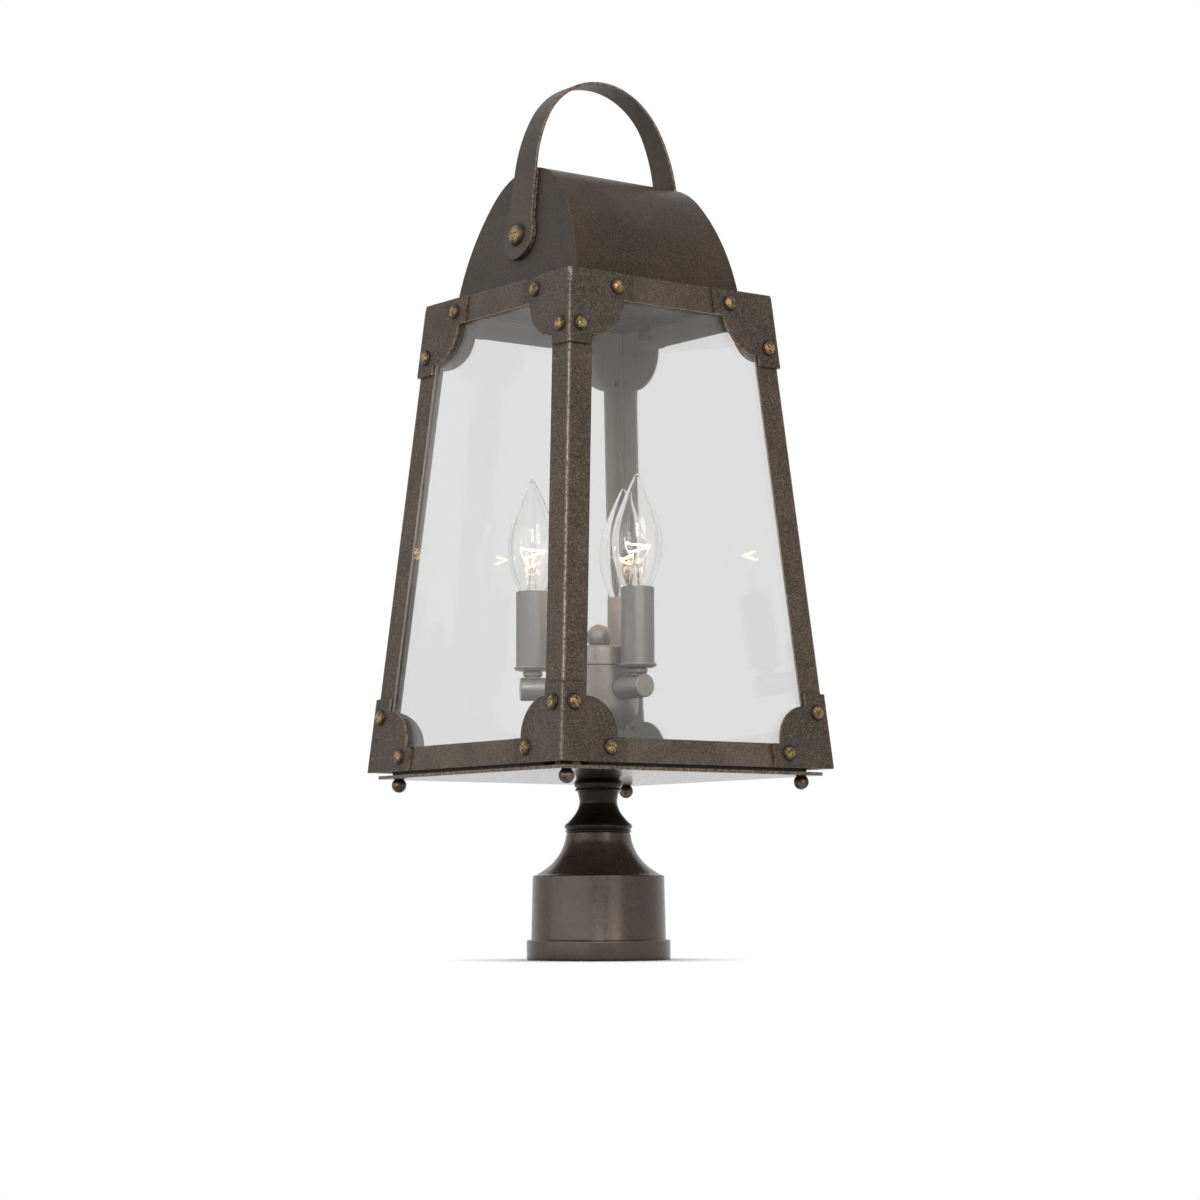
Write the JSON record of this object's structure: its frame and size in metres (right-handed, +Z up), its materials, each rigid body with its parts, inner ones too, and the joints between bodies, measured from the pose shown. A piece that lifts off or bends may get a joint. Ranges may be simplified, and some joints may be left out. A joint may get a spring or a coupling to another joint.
{
  "type": "post-top lantern",
  "caption": "Riveted sheet-metal post lantern with clear glass sides, a barrel roof, a strap handle and a candle cluster.",
  "frame": {"origin": "centre of the post fitter's mouth, on the plane of its foot ring", "axes": "+Z up the lantern's axis; -Y towards the side under one arched end of the roof; the handle spans along Y and the roof's vault runs along Y"},
  "size_m": [0.22, 0.22, 0.5716],
  "materials": {
    "aged_bronze": "aged bronze paint with a fine lighter mottle and worn coppery edges",
    "dark_bronze": "dark bronze paint, semi-gloss, on turned castings",
    "cluster_bronze": "satin bronze paint",
    "antique_brass": "antique brass with dark recesses",
    "pane_glass": "clear flat glass",
    "gasket": "black foam rubber",
    "zinc_steel": "zinc-plated threaded steel",
    "candle_cover": "satin bronze-coloured candle cover",
    "socket_resin": "black moulded lamp socket",
    "bulb_glass": "clear bulb glass",
    "bulb_brass": "brass screw base",
    "bulb_mount": "glass filament mount with fine wires"
  },
  "bodies": {
    "base": {"fitter": "dark_bronze", "neck": "dark_bronze", "nipple": "zinc_steel", "nipple_nuts": "zinc_steel", "base_plate": "aged_bronze", "base_gaskets": "gasket", "stem_tube": "cluster_bronze", "cluster_cup": "cluster_bronze", "cluster_lid": "cluster_bronze", "finial_ball": "cluster_bronze", "arm_beads": "cluster_bronze", "drip_pans": "cluster_bronze", "sockets": "socket_resin", "arm_1": "cluster_bronze", "arm_2": "cluster_bronze", "arm_3": "cluster_bronze", "candle_sleeve_1": "candle_cover", "candle_sleeve_2": "candle_cover", "candle_sleeve_3": "candle_cover"},
    "ball_screw_1": {"ball_screw_1": "antique_brass"},
    "ball_screw_2": {"ball_screw_2": "antique_brass"},
    "ball_screw_3": {"ball_screw_3": "antique_brass"},
    "ball_screw_4": {"ball_screw_4": "antique_brass"},
    "bulb_1": {"bulb_glass_1": "bulb_glass", "bulb_base_1": "bulb_brass", "bulb_filament_1": "bulb_mount"},
    "bulb_2": {"bulb_glass_2": "bulb_glass", "bulb_base_2": "bulb_brass", "bulb_filament_2": "bulb_mount"},
    "bulb_3": {"bulb_glass_3": "bulb_glass", "bulb_base_3": "bulb_brass", "bulb_filament_3": "bulb_mount"},
    "cage": {"top_gussets": "aged_bronze", "bottom_gussets": "aged_bronze", "gusset_rivets": "antique_brass", "corner_tabs": "aged_bronze", "glass_clips": "aged_bronze", "crown_plate": "aged_bronze", "roof_barrel": "aged_bronze", "roof_end_front": "aged_bronze", "roof_end_rear": "aged_bronze", "handle": "aged_bronze", "handle_pads": "aged_bronze", "handle_rivets": "antique_brass", "post_front_right": "aged_bronze", "post_rear_right": "aged_bronze", "post_rear_left": "aged_bronze", "post_front_left": "aged_bronze", "top_rail_front": "aged_bronze", "bottom_rail_front": "aged_bronze", "glass_front": "pane_glass", "top_rail_right": "aged_bronze", "bottom_rail_right": "aged_bronze", "glass_right": "pane_glass", "top_rail_rear": "aged_bronze", "bottom_rail_rear": "aged_bronze", "glass_rear": "pane_glass", "top_rail_left": "aged_bronze", "bottom_rail_left": "aged_bronze", "glass_left": "pane_glass"}
  },
  "joints": [
    {"name": "cage_lift", "type": "slide", "parent": "base", "child": "cage", "axis": [0, 0, 1], "range_m": [0, 0.22]},
    {"name": "ball_screw_1_draw", "type": "slide", "parent": "base", "child": "ball_screw_1", "axis": [0, 0, -1], "range_m": [0, 0.012]},
    {"name": "ball_screw_2_draw", "type": "slide", "parent": "base", "child": "ball_screw_2", "axis": [0, 0, -1], "range_m": [0, 0.012]},
    {"name": "ball_screw_3_draw", "type": "slide", "parent": "base", "child": "ball_screw_3", "axis": [0, 0, -1], "range_m": [0, 0.012]},
    {"name": "ball_screw_4_draw", "type": "slide", "parent": "base", "child": "ball_screw_4", "axis": [0, 0, -1], "range_m": [0, 0.012]},
    {"name": "bulb_1_draw", "type": "slide", "parent": "base", "child": "bulb_1", "axis": [0, 0, 1], "range_m": [0, 0.024]},
    {"name": "bulb_2_draw", "type": "slide", "parent": "base", "child": "bulb_2", "axis": [0, 0, 1], "range_m": [0, 0.024]},
    {"name": "bulb_3_draw", "type": "slide", "parent": "base", "child": "bulb_3", "axis": [0, 0, 1], "range_m": [0, 0.024]}
  ]
}
